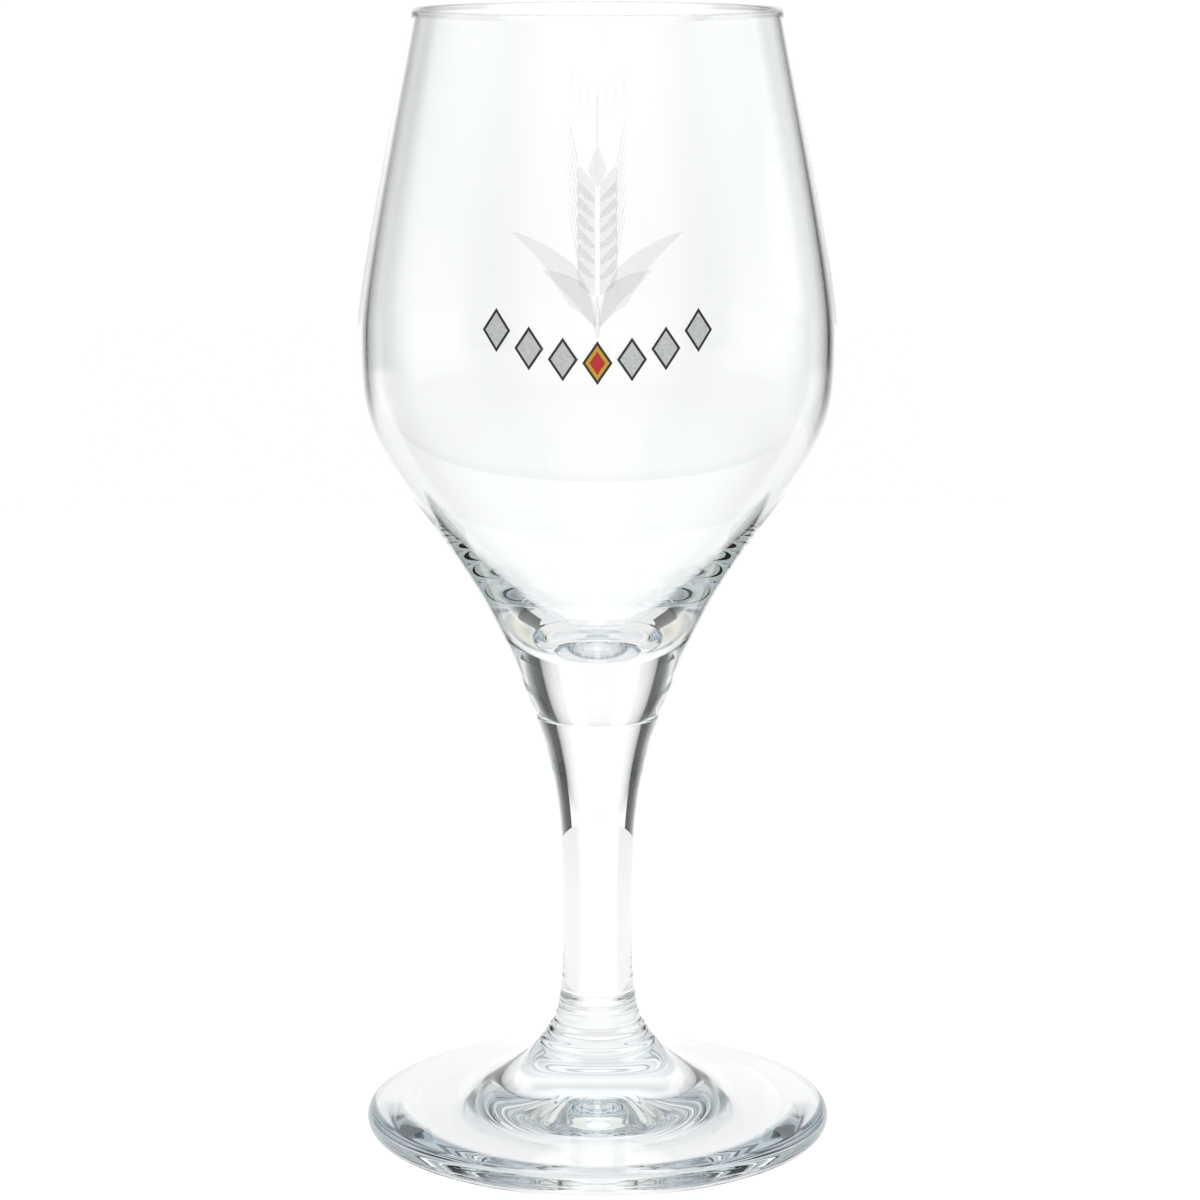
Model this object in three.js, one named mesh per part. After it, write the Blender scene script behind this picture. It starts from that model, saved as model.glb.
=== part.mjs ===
// Stemmed beer glass: a blown tulip bowl, a drawn stem and a pressed foot, fused end to end.
// Millimetres, +Z up, the foot resting on z = 0 and the axis of the glass on X = Y = 0.

import * as THREE from "three";

// Foot: a disc with a rounded edge, swept up to a ringed collar, with a hollow and a push-up underneath
const FOOT_DIAMETER = 83.2;
const FOOT_EDGE_THICKNESS = 4.5;
const REST_RING_WIDTH = 6.5;
const KICK_DEPTH = 1.5;
const PUSH_UP_DIAMETER = 35.6;
const PUSH_UP_DEPTH = 2.1;
const FLARE_DIAMETER = 51.8;
const FLARE_LIFT = 2.5;
const COLLAR_DIAMETER = 21.2;
const COLLAR_LIFT = 8.8;
const COLLAR_HEIGHT = 6.6;
const FORMING_RINGS = 3;
const FORMING_RING_DEPTH = 0.15;

// Stem: waisted, and swelling upwards to meet the bowl
const STEM_LENGTH = 53.6;
const ANKLE_DIAMETER = 14.2;
const WAIST_DIAMETER = 12.3;
const WAIST_RISE = 18;
const SEAM_DIAMETER = 21.8;

// Bowl: thin at the lip, with a round-bottomed conical well over a thick solid base
const BOWL_HEIGHT = 124;
const BELLY_DIAMETER = 83.5;
const BELLY_RISE = 68.5;
const TURN_DIAMETER = 60.2;
const TURN_RISE = 36;
const RIM_DIAMETER = 63.7;
const RIM_WALL = 1;
const BELLY_WALL = 1.6;
const FLOOR_THICKNESS = 11.4;
const FLOOR_SPREAD = 3;
const WELL_RISE = 29;
const WELL_WALL = 2.4;
const WELL_LIFT = 12;

// Crease that the flame leaves around each fused joint
const JOINT_CREASE = 0.2;

// Slopes of the outline at its stations, as radius gained for each unit of height
const COLLAR_SLOPE = -0.75;
const ANKLE_SLOPE = -0.18;
const NECK_SLOPE = 0.2;
const STUB_SLOPE = 0.55;
const TURN_SLOPE = 0.735;
const RIM_SLOPE = -0.195;
const WELL_SLOPE = 0.82;

// Fullness of each swept curve at its lower and upper end, as a share of its height
const FLARE_FULLNESS = [0.18, 0.35];
const COLLAR_FULLNESS = [0.35, 0.35];
const SHANK_FULLNESS = [0.25, 0.62];
const NECK_FULLNESS = [0.72, 0.14];
const CONE_FULLNESS = [0.19, 0.6];
const SHOULDER_FULLNESS = [0.485, 0.387];
const WALL_FULLNESS = [0.145, 0.35];
const CUP_FULLNESS = [0.54, 0.34];

// Fullness of the push-up, as a share of its radius
const PUSH_UP_FULLNESS = 0.5;

// Facets around the axis
const FACETS = 64;

// Heights and radii that follow from the sizes above
const flareHeight = FOOT_EDGE_THICKNESS + FLARE_LIFT;
const collarHeight = flareHeight + COLLAR_LIFT;
const ankleHeight = collarHeight + COLLAR_HEIGHT;
const seamHeight = ankleHeight + STEM_LENGTH;
const turnHeight = seamHeight + TURN_RISE;
const bellyHeight = seamHeight + BELLY_RISE;
const rimHeight = seamHeight + BOWL_HEIGHT;
const floorHeight = seamHeight + FLOOR_THICKNESS;
const ankleRadius = ANKLE_DIAMETER / 2;
const seamRadius = SEAM_DIAMETER / 2;
const bellyRadius = BELLY_DIAMETER / 2;
const rimRadius = RIM_DIAMETER / 2;

const clearGlass = new THREE.MeshStandardMaterial({ color: 0xe4ebee, roughness: 0.05, metalness: 0 });

function at(radius, height) {
  return new THREE.Vector2(radius, height);
}

function straight(from, to) {
  return new THREE.LineCurve(from, to);
}

// Smooth stretch that leaves one station and reaches the next at the given slopes
function swept(low, lowSlope, high, highSlope, [lowFullness, highFullness]) {
  const rise = high.y - low.y;
  const leave = lowFullness * rise;
  const arrive = highFullness * rise;
  return new THREE.CubicBezierCurve(
    low,
    at(low.x + lowSlope * leave, low.y + leave),
    at(high.x - highSlope * arrive, high.y - arrive),
    high,
  );
}

// Radius that a rising curve has at a height
function radiusAt(curve, height) {
  let below = 0;
  let above = 1;
  for (let halving = 0; halving < 40; halving += 1) {
    const middle = (below + above) / 2;
    if (curve.getPoint(middle).y < height) {
      below = middle;
    } else {
      above = middle;
    }
  }
  return curve.getPoint(below).x;
}

// Rings that the forming tool leaves on a curve, each one a shallow bead
class RingedCurve extends THREE.Curve {
  constructor(base) {
    super();
    this.base = base;
  }

  getPoint(t) {
    const point = this.base.getPoint(t);
    const wave = Math.sin(Math.PI * FORMING_RINGS * t);
    point.x += FORMING_RING_DEPTH * wave * wave;
    return point;
  }
}

// Points of an outline made of curves laid end to end, each with its own number of steps
function outline(stretches) {
  const points = [];
  for (const [stretch, steps] of stretches) {
    const fresh = stretch.getPoints(steps);
    points.push(...(points.length ? fresh.slice(1) : fresh));
  }
  return points;
}

function turned(name, points) {
  const geometry = new THREE.LatheGeometry(points, FACETS);
  geometry.rotateX(Math.PI / 2);
  const mesh = new THREE.Mesh(geometry, clearGlass);
  mesh.name = name;
  return mesh;
}

function foot() {
  const edgeRadius = FOOT_EDGE_THICKNESS / 2;
  const edgeCentre = FOOT_DIAMETER / 2 - edgeRadius;
  const restInner = edgeCentre - REST_RING_WIDTH;
  const edgeTop = at(edgeCentre, FOOT_EDGE_THICKNESS);
  const flareEnd = at(FLARE_DIAMETER / 2, flareHeight);
  const flareSlope = (flareEnd.x - edgeTop.x) / FLARE_LIFT;
  const collar = at(COLLAR_DIAMETER / 2, collarHeight);
  const ankle = at(ankleRadius, ankleHeight - JOINT_CREASE);
  const face = at(ankleRadius - JOINT_CREASE, ankleHeight);

  const pushUpRadius = PUSH_UP_DIAMETER / 2;
  const pushUpSpread = PUSH_UP_FULLNESS * pushUpRadius;
  const domeHeight = KICK_DEPTH + PUSH_UP_DEPTH;
  const pushUp = new THREE.CubicBezierCurve(
    at(0, domeHeight),
    at(pushUpSpread, domeHeight),
    at(pushUpSpread, KICK_DEPTH),
    at(pushUpRadius, KICK_DEPTH),
  );
  const hollow = new THREE.QuadraticBezierCurve(
    at(pushUpRadius, KICK_DEPTH),
    at((pushUpRadius + restInner) / 2, KICK_DEPTH),
    at(restInner, 0),
  );
  const edge = new THREE.EllipseCurve(
    edgeCentre,
    edgeRadius,
    edgeRadius,
    edgeRadius,
    -Math.PI / 2,
    Math.PI / 2,
  );
  const flare = swept(flareEnd, flareSlope, collar, COLLAR_SLOPE, FLARE_FULLNESS);
  const collarBase = swept(collar, COLLAR_SLOPE, ankle, ANKLE_SLOPE, COLLAR_FULLNESS);
  const points = outline([
    [pushUp, 8],
    [hollow, 5],
    [straight(at(restInner, 0), at(edgeCentre, 0)), 1],
    [edge, 6],
    [straight(edgeTop, flareEnd), 1],
    [flare, 7],
    [new RingedCurve(collarBase), 4 * FORMING_RINGS],
    [straight(ankle, face), 1],
    [straight(face, at(0, ankleHeight)), 1],
  ]);
  return turned("foot", points);
}

function stem() {
  const lowFace = at(ankleRadius - JOINT_CREASE, ankleHeight);
  const ankle = at(ankleRadius, ankleHeight + JOINT_CREASE);
  const waist = at(WAIST_DIAMETER / 2, ankleHeight + WAIST_RISE);
  const seam = at(seamRadius, seamHeight - JOINT_CREASE);
  const highFace = at(seamRadius - JOINT_CREASE, seamHeight);

  const points = outline([
    [straight(at(0, ankleHeight), lowFace), 1],
    [straight(lowFace, ankle), 1],
    [swept(ankle, ANKLE_SLOPE, waist, 0, SHANK_FULLNESS), 5],
    [swept(waist, 0, seam, NECK_SLOPE, NECK_FULLNESS), 10],
    [straight(seam, highFace), 1],
    [straight(highFace, at(0, seamHeight)), 1],
  ]);
  return turned("stem", points);
}

function bowl() {
  const lipRadius = RIM_WALL / 2;
  const lipHeight = rimHeight - lipRadius;
  const face = at(seamRadius - JOINT_CREASE, seamHeight);
  const seam = at(seamRadius, seamHeight + JOINT_CREASE);
  const turn = at(TURN_DIAMETER / 2, turnHeight);
  const belly = at(bellyRadius, bellyHeight);
  const rim = at(rimRadius, lipHeight);
  const innerRim = at(rimRadius - RIM_WALL, lipHeight);
  const innerBelly = at(bellyRadius - BELLY_WALL, bellyHeight);
  const cone = swept(seam, STUB_SLOPE, turn, TURN_SLOPE, CONE_FULLNESS);
  const brimHeight = seamHeight + WELL_RISE;
  const brim = at(radiusAt(cone, brimHeight) - WELL_WALL, brimHeight);
  const knee = at(brim.x - WELL_SLOPE * WELL_LIFT, brimHeight - WELL_LIFT);

  const lip = new THREE.EllipseCurve(rimRadius - lipRadius, lipHeight, lipRadius, lipRadius, 0, Math.PI);
  const well = new THREE.CubicBezierCurve(at(0, floorHeight), at(FLOOR_SPREAD, floorHeight), knee, brim);
  const outside = outline([
    [straight(at(0, seamHeight), face), 1],
    [straight(face, seam), 1],
    [cone, 7],
    [swept(turn, TURN_SLOPE, belly, 0, SHOULDER_FULLNESS), 7],
    [swept(belly, 0, rim, RIM_SLOPE, WALL_FULLNESS), 6],
    [lip, 4],
  ]);
  const inside = outline([
    [well, 8],
    [swept(brim, WELL_SLOPE, innerBelly, 0, CUP_FULLNESS), 9],
    [swept(innerBelly, 0, innerRim, RIM_SLOPE, WALL_FULLNESS), 6],
  ]);
  return turned("bowl", [...outside, ...inside.reverse().slice(1)]);
}

const glassware = new THREE.Group();
glassware.add(foot(), stem(), bowl());

export default glassware;
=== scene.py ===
"""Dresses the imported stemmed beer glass: clear glass, fired enamel, a white table and studio light."""

import logging
import math
from dataclasses import dataclass
from enum import Enum
from functools import cached_property

import bpy
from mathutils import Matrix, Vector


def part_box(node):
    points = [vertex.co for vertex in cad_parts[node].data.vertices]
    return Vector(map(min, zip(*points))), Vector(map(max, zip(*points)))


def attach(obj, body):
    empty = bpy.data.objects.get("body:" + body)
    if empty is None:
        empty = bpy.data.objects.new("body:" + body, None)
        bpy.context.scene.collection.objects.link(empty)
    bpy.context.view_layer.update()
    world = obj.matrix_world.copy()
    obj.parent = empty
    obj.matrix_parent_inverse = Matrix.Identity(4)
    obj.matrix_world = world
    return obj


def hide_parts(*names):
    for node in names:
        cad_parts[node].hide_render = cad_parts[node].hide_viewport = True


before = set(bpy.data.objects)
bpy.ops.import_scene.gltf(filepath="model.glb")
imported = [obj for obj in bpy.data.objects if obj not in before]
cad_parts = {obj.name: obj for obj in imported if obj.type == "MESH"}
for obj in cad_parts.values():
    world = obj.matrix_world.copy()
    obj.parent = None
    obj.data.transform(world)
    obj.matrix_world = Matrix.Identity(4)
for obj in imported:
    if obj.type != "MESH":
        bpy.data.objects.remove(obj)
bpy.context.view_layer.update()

LOG = logging.getLogger("stemmed_glass")
MM = 0.001
ROOT_BODY = "root"
ON_AXIS = 1e-9

Point = tuple[float, float]
Place = tuple[float, float, float]
Span = tuple[float, float]
Colour = tuple[float, float, float]
Stops = tuple[tuple[float, float], ...]
Piece = bpy.types.Object
Material = bpy.types.Material
Node = bpy.types.Node
Socket = bpy.types.NodeSocket


class Skin(Enum):
    """Material slot of a band of a turned mesh."""

    GLASS = 0
    WELD = 1


@dataclass(frozen=True)
class Station:
    """A place that an outline passes through.

    Attributes:
        radius: distance from the axis, in metres.
        height: height over the table, in metres.
        slope: radius gained for each unit of height.
    """

    radius: float
    height: float
    slope: float = 0.0

    @property
    def point(self) -> Point:
        """Radius and height alone."""
        return (self.radius, self.height)


@dataclass(frozen=True)
class Stretch:
    """A run of outline points under one skin.

    Attributes:
        points: radius and height of each point, in order.
        skin: the finish of the surface that the run sweeps.
    """

    points: list[Point]
    skin: Skin = Skin.GLASS


def bezier(controls: list[Point], steps: int) -> list[Point]:
    """Samples a Bezier curve of any degree.

    Args:
        controls: the control points, ends included.
        steps: number of equal parameter steps.

    Returns:
        The points on the curve, both ends included.
    """
    degree = len(controls) - 1
    points = []
    for index in range(steps + 1):
        t = index / steps
        weights = [math.comb(degree, k) * (1 - t) ** (degree - k) * t**k for k in range(degree + 1)]
        radius = sum(w * c[0] for w, c in zip(weights, controls))
        height = sum(w * c[1] for w, c in zip(weights, controls))
        points.append((radius, height))
    return points


def swept(low: Station, high: Station, fullness: Span, steps: int) -> list[Point]:
    """Sweeps a smooth curve between two stations, at their slopes.

    Args:
        low: the lower station.
        high: the upper station.
        fullness: how far each end keeps its slope, as a share of the rise.
        steps: number of steps.

    Returns:
        The points of the curve from the lower station to the upper one.
    """
    rise = high.height - low.height
    leave = fullness[0] * rise
    arrive = fullness[1] * rise
    controls = [
        low.point,
        (low.radius + low.slope * leave, low.height + leave),
        (high.radius - high.slope * arrive, high.height - arrive),
        high.point,
    ]
    return bezier(controls, steps)


def arc(centre: Point, radius: float, start: float, end: float, steps: int) -> list[Point]:
    """Samples a circular arc.

    Args:
        centre: radius and height of its centre.
        radius: radius of the arc.
        start: start angle in degrees, 0 pointing away from the axis.
        end: end angle in degrees.
        steps: number of steps.

    Returns:
        The points of the arc.
    """
    points = []
    for index in range(steps + 1):
        angle = math.radians(start + (end - start) * index / steps)
        points.append((centre[0] + radius * math.cos(angle), centre[1] + radius * math.sin(angle)))
    return points


def add_piece(name: str, vertices: list[Place], faces: list[tuple[int, ...]]) -> Piece:
    """Makes a mesh object and links it to the scene.

    Args:
        name: name of the new object and of its mesh.
        vertices: places of the corners.
        faces: numbers of the corners of each face.

    Returns:
        The new object.
    """
    mesh = bpy.data.meshes.new(name)
    mesh.from_pydata(vertices, [], faces)
    mesh.update(calc_edges=True)
    piece = bpy.data.objects.new(name, mesh)
    bpy.context.scene.collection.objects.link(piece)
    return piece


def turned_mesh(name: str, stretches: list[Stretch], facets: int) -> Piece:
    """Turns an outline about the vertical axis into a closed, smooth mesh.

    Args:
        name: name of the new object.
        stretches: runs laid end to end, the first and the last point on the axis.
        facets: number of faces around the axis.

    Returns:
        The new object, linked to the scene.
    """
    rings: list[Point] = [stretches[0].points[0]]
    skins: list[Skin] = []
    for stretch in stretches:
        for point in stretch.points[1:]:
            rings.append(point)
            skins.append(stretch.skin)

    vertices: list[Place] = []
    rows: list[list[int]] = []
    for radius, height in rings:
        start = len(vertices)
        if radius < ON_AXIS:
            vertices.append((0.0, 0.0, height))
            rows.append([start] * facets)
            continue
        for index in range(facets):
            angle = 2 * math.pi * index / facets
            vertices.append((radius * math.cos(angle), radius * math.sin(angle), height))
        rows.append(list(range(start, start + facets)))

    faces: list[tuple[int, ...]] = []
    skin_of_face: list[int] = []
    for band, skin in enumerate(skins):
        near, far = rows[band], rows[band + 1]
        for index in range(facets):
            after = (index + 1) % facets
            corners = [near[index], near[after], far[after], far[index]]
            faces.append(tuple(dict.fromkeys(corners)))
            skin_of_face.append(skin.value)

    piece = add_piece(name, vertices, faces)
    mesh = piece.data
    mesh.polygons.foreach_set("use_smooth", [True] * len(faces))
    mesh.polygons.foreach_set("material_index", skin_of_face)
    ring_of_vertex = {vertex: ring for ring, row in enumerate(rows) for vertex in row}
    joins = {band + 1 for band in range(len(skins) - 1) if skins[band] != skins[band + 1]}
    for edge in mesh.edges:
        ring_a, ring_b = (ring_of_vertex[v] for v in edge.vertices)
        edge.use_edge_sharp = ring_a == ring_b and ring_a in joins
    return piece


class NodeSheet:
    """Thin helper that adds and links shader nodes in one tree."""

    def __init__(self, tree: bpy.types.NodeTree) -> None:
        """Keeps the tree and clears it."""
        self.tree = tree
        tree.nodes.clear()

    def add(self, kind: str, **settings: object) -> Node:
        """Adds a node.

        Args:
            kind: Blender's node type name.
            settings: properties to set on the node.

        Returns:
            The new node.
        """
        node = self.tree.nodes.new(kind)
        for key, value in settings.items():
            setattr(node, key, value)
        return node

    def link(self, source: Socket, target: Socket) -> None:
        """Links two sockets."""
        self.tree.links.new(source, target)

    def math(self, operation: str, *inputs: object) -> Socket:
        """Adds a math node.

        Args:
            operation: the node's operation.
            inputs: numbers or sockets, in the node's order.

        Returns:
            The output socket.
        """
        node = self.add("ShaderNodeMath", operation=operation)
        for index, value in enumerate(inputs):
            if isinstance(value, Socket):
                self.link(value, node.inputs[index])
            else:
                node.inputs[index].default_value = value
        return node.outputs[0]

    def coordinates(self, kind: str) -> tuple[Socket, Node]:
        """Adds texture coordinates, whole and split.

        Args:
            kind: name of the coordinate.

        Returns:
            The coordinate's socket, and the node that gives its X, Y and Z.
        """
        place = self.add("ShaderNodeTexCoord").outputs[kind]
        split = self.add("ShaderNodeSeparateXYZ")
        self.link(place, split.inputs["Vector"])
        return place, split

    def path(self, question: str) -> Socket:
        """Asks how the light came here."""
        return self.add("ShaderNodeLightPath").outputs[question]

    def noise(self, place: Socket, size: float, detail: float) -> Socket:
        """Adds cloudy noise.

        Args:
            place: the coordinate's socket.
            size: width of the clouds, in metres.
            detail: number of finer layers.

        Returns:
            The noise's socket, from 0 to 1.
        """
        node = self.add("ShaderNodeTexNoise")
        node.inputs["Scale"].default_value = 1 / size
        node.inputs["Detail"].default_value = detail
        self.link(place, node.inputs["Vector"])
        return node.outputs["Fac"]

    def bump(self, height: Socket, strength: float, depth: float) -> Socket:
        """Adds relief.

        Args:
            height: the height's socket, from 0 to 1.
            strength: share of the relief that is felt.
            depth: depth of the relief, in metres.

        Returns:
            The normal's socket.
        """
        node = self.add("ShaderNodeBump")
        node.inputs["Strength"].default_value = strength
        node.inputs["Distance"].default_value = depth
        self.link(height, node.inputs["Height"])
        return node.outputs["Normal"]

    def steps(self, value: Socket, stops: Stops) -> Socket:
        """Maps a value from -1 to 1 through straight lines between stops.

        Args:
            value: the socket to map.
            stops: (value, result) pairs in rising order.

        Returns:
            The mapped value's socket.
        """
        node = self.add("ShaderNodeValToRGB")
        self.link(self.ramp(value, (-1.0, 1.0), (0.0, 1.0)), node.inputs["Fac"])
        elements = node.color_ramp.elements
        while len(elements) < len(stops):
            elements.new(1.0)
        for element, (place, result) in zip(elements, stops):
            element.position = (place + 1) / 2
            element.color = (result, result, result, 1.0)
        return node.outputs["Color"]

    def tone(self, value: Socket, source: Span, low: Colour, high: Colour) -> Socket:
        """Maps a value to a colour between two.

        Args:
            value: the socket to map.
            source: low and high of the value, within 0 to 1.
            low: colour at the low end.
            high: colour at the high end.

        Returns:
            The colour's socket.
        """
        node = self.add("ShaderNodeValToRGB")
        self.link(value, node.inputs["Fac"])
        for element, place, colour in zip(node.color_ramp.elements, source, (low, high)):
            element.position = place
            element.color = (*colour, 1.0)
        return node.outputs["Color"]

    def ramp(self, value: Socket, source: Span, target: Span, smooth: bool = False) -> Socket:
        """Maps a value from one range to another.

        Args:
            value: the socket to map.
            source: low and high of the value.
            target: what they become.
            smooth: whether the way between them eases in and out.

        Returns:
            The mapped value's socket.
        """
        kind = "SMOOTHSTEP" if smooth else "LINEAR"
        node = self.add("ShaderNodeMapRange", interpolation_type=kind, clamp=True)
        self.link(value, node.inputs["Value"])
        node.inputs["From Min"].default_value, node.inputs["From Max"].default_value = source
        node.inputs["To Min"].default_value, node.inputs["To Max"].default_value = target
        return node.outputs["Result"]


def start_material(name: str, shader: str) -> tuple[Material, NodeSheet, Node]:
    """Starts a node material with one shader on its surface.

    Args:
        name: name of the material.
        shader: Blender's type name of the shader node.

    Returns:
        The material, the sheet of its nodes and the shader node.
    """
    material = bpy.data.materials.new(name)
    material.use_nodes = True
    sheet = NodeSheet(material.node_tree)
    output = sheet.add("ShaderNodeOutputMaterial")
    node = sheet.add(shader)
    sheet.link(node.outputs["BSDF"], output.inputs["Surface"])
    return material, sheet, node


@dataclass(frozen=True)
class ClearGlass:
    """Colourless polished soda glass.

    Attributes:
        name: name of the material.
        tint: colour left after one crossing.
        deep_tint_and_shade: colour after a long way inside the glass: its own tint, deepened by painted
            shade.
        deep_turns: inner reflections on such a long way, after which that painted shade is full.
        deep_heights: height up to which the glass is thick, and from which it is thin.
        index: index of refraction.
        haze: lowest and highest roughness, from clean to wiped surface.
        film_size: width of the wiped patches, in metres.
        film_detail: finer layers of those patches.
        film_span: noise at which a patch begins, and at which it is wiped in full.
        lip_haze: roughness of the lip, worn by use.
        lip_share: share of the light at the lip that its tight curve bends.
        lip_heights: height at which the lip begins, and from which it is worn.
        wave_size: width of the slow waves of fire polish, in metres.
        wave_depth: depth of those waves, in metres.
    """

    name: str
    tint: Colour = (0.985, 0.993, 0.995)
    deep_tint_and_shade: Colour = (0.22, 0.3, 0.36)
    deep_turns: float = 8.0
    deep_heights: Span = (105 * MM, 130 * MM)
    index: float = 1.52
    haze: Span = (0.0, 0.012)
    film_size: float = 30 * MM
    film_detail: float = 6.0
    film_span: Span = (0.45, 0.75)
    lip_haze: float = 0.1
    lip_share: float = 0.45
    lip_heights: Span = (198.8 * MM, 199.3 * MM)
    wave_size: float = 14 * MM
    wave_depth: float = 0.004 * MM

    def material(self) -> Material:
        """Builds the node material.

        Returns:
            The material.
        """
        material, sheet, glass = start_material(self.name, "ShaderNodeBsdfPrincipled")
        place, split = sheet.coordinates("Object")
        height = split.outputs["Z"]
        # Painted shade: low in the thick glass the colour darkens to blue-grey with each inner reflection,
        # on top of the glass's own tint.
        thick = sheet.ramp(height, self.deep_heights, (1 / self.deep_turns, 0.0))
        way = sheet.math("MULTIPLY", sheet.path("Glossy Depth"), thick)
        colour = sheet.tone(way, (0.0, 1.0), self.tint, self.deep_tint_and_shade)
        sheet.link(colour, glass.inputs["Base Color"])
        glass.inputs["Metallic"].default_value = 0.0
        glass.inputs["IOR"].default_value = self.index
        glass.inputs["Transmission Weight"].default_value = 1.0

        film = sheet.noise(place, self.film_size, self.film_detail)
        wiped = sheet.ramp(film, self.film_span, self.haze)
        lip = sheet.ramp(height, self.lip_heights, (0.0, self.lip_haze))
        sheet.link(sheet.math("MAXIMUM", wiped, lip), glass.inputs["Roughness"])
        faint = sheet.ramp(height, self.lip_heights, (1.0, self.lip_share))
        sheet.link(faint, glass.inputs["Alpha"])

        waves = sheet.noise(place, self.wave_size, 1.0)
        sheet.link(sheet.bump(waves, 1.0, self.wave_depth), glass.inputs["Normal"])
        return material


@dataclass(frozen=True)
class WeldFace:
    """The fused face between two pieces of glass, which light crosses unchanged."""

    name: str = "fused_face"

    def material(self) -> Material:
        """Builds the node material."""
        return start_material(self.name, "ShaderNodeBsdfTransparent")[0]


@dataclass
class TurnedGlass:
    """Common part of the three turned pieces.

    Attributes:
        glass: finish of the outside.
        weld: finish of the fused faces.
        facets: faces around the axis.
        node: name of the CAD node that the piece stands in for.
        joint_crease: crease that the flame leaves around a fused joint.
    """

    glass: ClearGlass
    weld: WeldFace
    facets: int = 128
    node: str = ""
    joint_crease: float = 0.2 * MM

    def stretches(self) -> list[Stretch]:
        """The outline of the piece, from axis to axis."""
        raise NotImplementedError

    def build(self) -> Piece:
        """Makes the piece, dresses it and puts it in its node's place.

        Returns:
            The dressed object.
        """
        piece = turned_mesh(f"{self.node}_glass", self.stretches(), self.facets)
        piece.data.materials.append(self.glass.material())
        piece.data.materials.append(self.weld.material())
        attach(piece, ROOT_BODY)
        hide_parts(self.node)
        return piece


@dataclass
class Foot(TurnedGlass):
    """The pressed foot: a disc swept up to a ringed collar, with a hollow under it."""

    node: str = "foot"
    edge_thickness: float = 4.5 * MM
    rest_ring_width: float = 6.5 * MM
    kick_depth: float = 1.5 * MM
    push_up_radius: float = 17.8 * MM
    push_up_depth: float = 2.1 * MM
    push_up_fullness: float = 0.5
    flare_radius: float = 25.9 * MM
    flare_lift: float = 2.5 * MM
    flare_fullness: Span = (0.18, 0.35)
    collar_radius: float = 10.6 * MM
    collar_height: float = 6.6 * MM
    collar_slope: float = -0.75
    collar_fullness: Span = (0.35, 0.35)
    ankle_radius: float = 7.1 * MM
    ankle_slope: float = -0.18
    forming_rings: int = 3
    forming_ring_depth: float = 0.15 * MM

    def stretches(self) -> list[Stretch]:
        """Draws the foot from the hollow, round the edge and up to the fused face.

        Returns:
            The runs of the outline.
        """
        low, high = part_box(self.node)
        edge_radius = self.edge_thickness / 2
        edge_centre = high.x - edge_radius
        rest_inner = edge_centre - self.rest_ring_width
        flare_height = self.edge_thickness + self.flare_lift
        flare_slope = (self.flare_radius - edge_centre) / self.flare_lift
        flare = Station(self.flare_radius, flare_height, flare_slope)
        collar = Station(self.collar_radius, high.z - self.collar_height, self.collar_slope)
        ankle = Station(self.ankle_radius, high.z - self.joint_crease, self.ankle_slope)
        face = (self.ankle_radius - self.joint_crease, high.z)
        kick = self.kick_depth
        dome = kick + self.push_up_depth
        spread = self.push_up_radius * self.push_up_fullness
        push_up = [(0.0, dome), (spread, dome), (spread, kick), (self.push_up_radius, kick)]
        middle = (self.push_up_radius + rest_inner) / 2
        hollow = [(self.push_up_radius, kick), (middle, kick), (rest_inner, low.z)]
        return [
            Stretch(bezier(push_up, 32)),
            Stretch(bezier(hollow, 24)),
            Stretch([(rest_inner, low.z), (edge_centre - 2 * edge_radius, low.z), (edge_centre, low.z)]),
            Stretch(arc((edge_centre, edge_radius), edge_radius, -90, 90, 24)),
            Stretch(bezier([(edge_centre, self.edge_thickness), flare.point], 12)),
            Stretch(swept(flare, collar, self.flare_fullness, 24)),
            Stretch(self.ringed(swept(collar, ankle, self.collar_fullness, 36))),
            Stretch([ankle.point, face]),
            Stretch([face, (0.0, high.z)], Skin.WELD),
        ]

    def ringed(self, points: list[Point]) -> list[Point]:
        """Raises the forming rings on the collar.

        Args:
            points: the plain collar.

        Returns:
            The collar with its shallow beads.
        """
        last = len(points) - 1
        beads = []
        for index, (radius, height) in enumerate(points):
            wave = math.sin(math.pi * self.forming_rings * index / last)
            beads.append((radius + self.forming_ring_depth * wave * wave, height))
        return beads


@dataclass
class Stem(TurnedGlass):
    """The drawn stem: waisted, and swelling towards the bowl."""

    node: str = "stem"
    ankle_radius: float = 7.1 * MM
    ankle_slope: float = -0.18
    waist_radius: float = 6.15 * MM
    waist_rise: float = 18 * MM
    seam_radius: float = 10.9 * MM
    neck_slope: float = 0.2
    shank_fullness: Span = (0.25, 0.62)
    neck_fullness: Span = (0.72, 0.14)

    def stretches(self) -> list[Stretch]:
        """Draws the stem from the lower fused face to the upper one.

        Returns:
            The runs of the outline.
        """
        low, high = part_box(self.node)
        ankle = Station(self.ankle_radius, low.z + self.joint_crease, self.ankle_slope)
        waist = Station(self.waist_radius, low.z + self.waist_rise)
        seam = Station(self.seam_radius, high.z - self.joint_crease, self.neck_slope)
        low_face = (self.ankle_radius - self.joint_crease, low.z)
        high_face = (self.seam_radius - self.joint_crease, high.z)
        return [
            Stretch([(0.0, low.z), low_face], Skin.WELD),
            Stretch([low_face, ankle.point]),
            Stretch(swept(ankle, waist, self.shank_fullness, 24)),
            Stretch(swept(waist, seam, self.neck_fullness, 44)),
            Stretch([seam.point, high_face]),
            Stretch([high_face, (0.0, high.z)], Skin.WELD),
        ]


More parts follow.
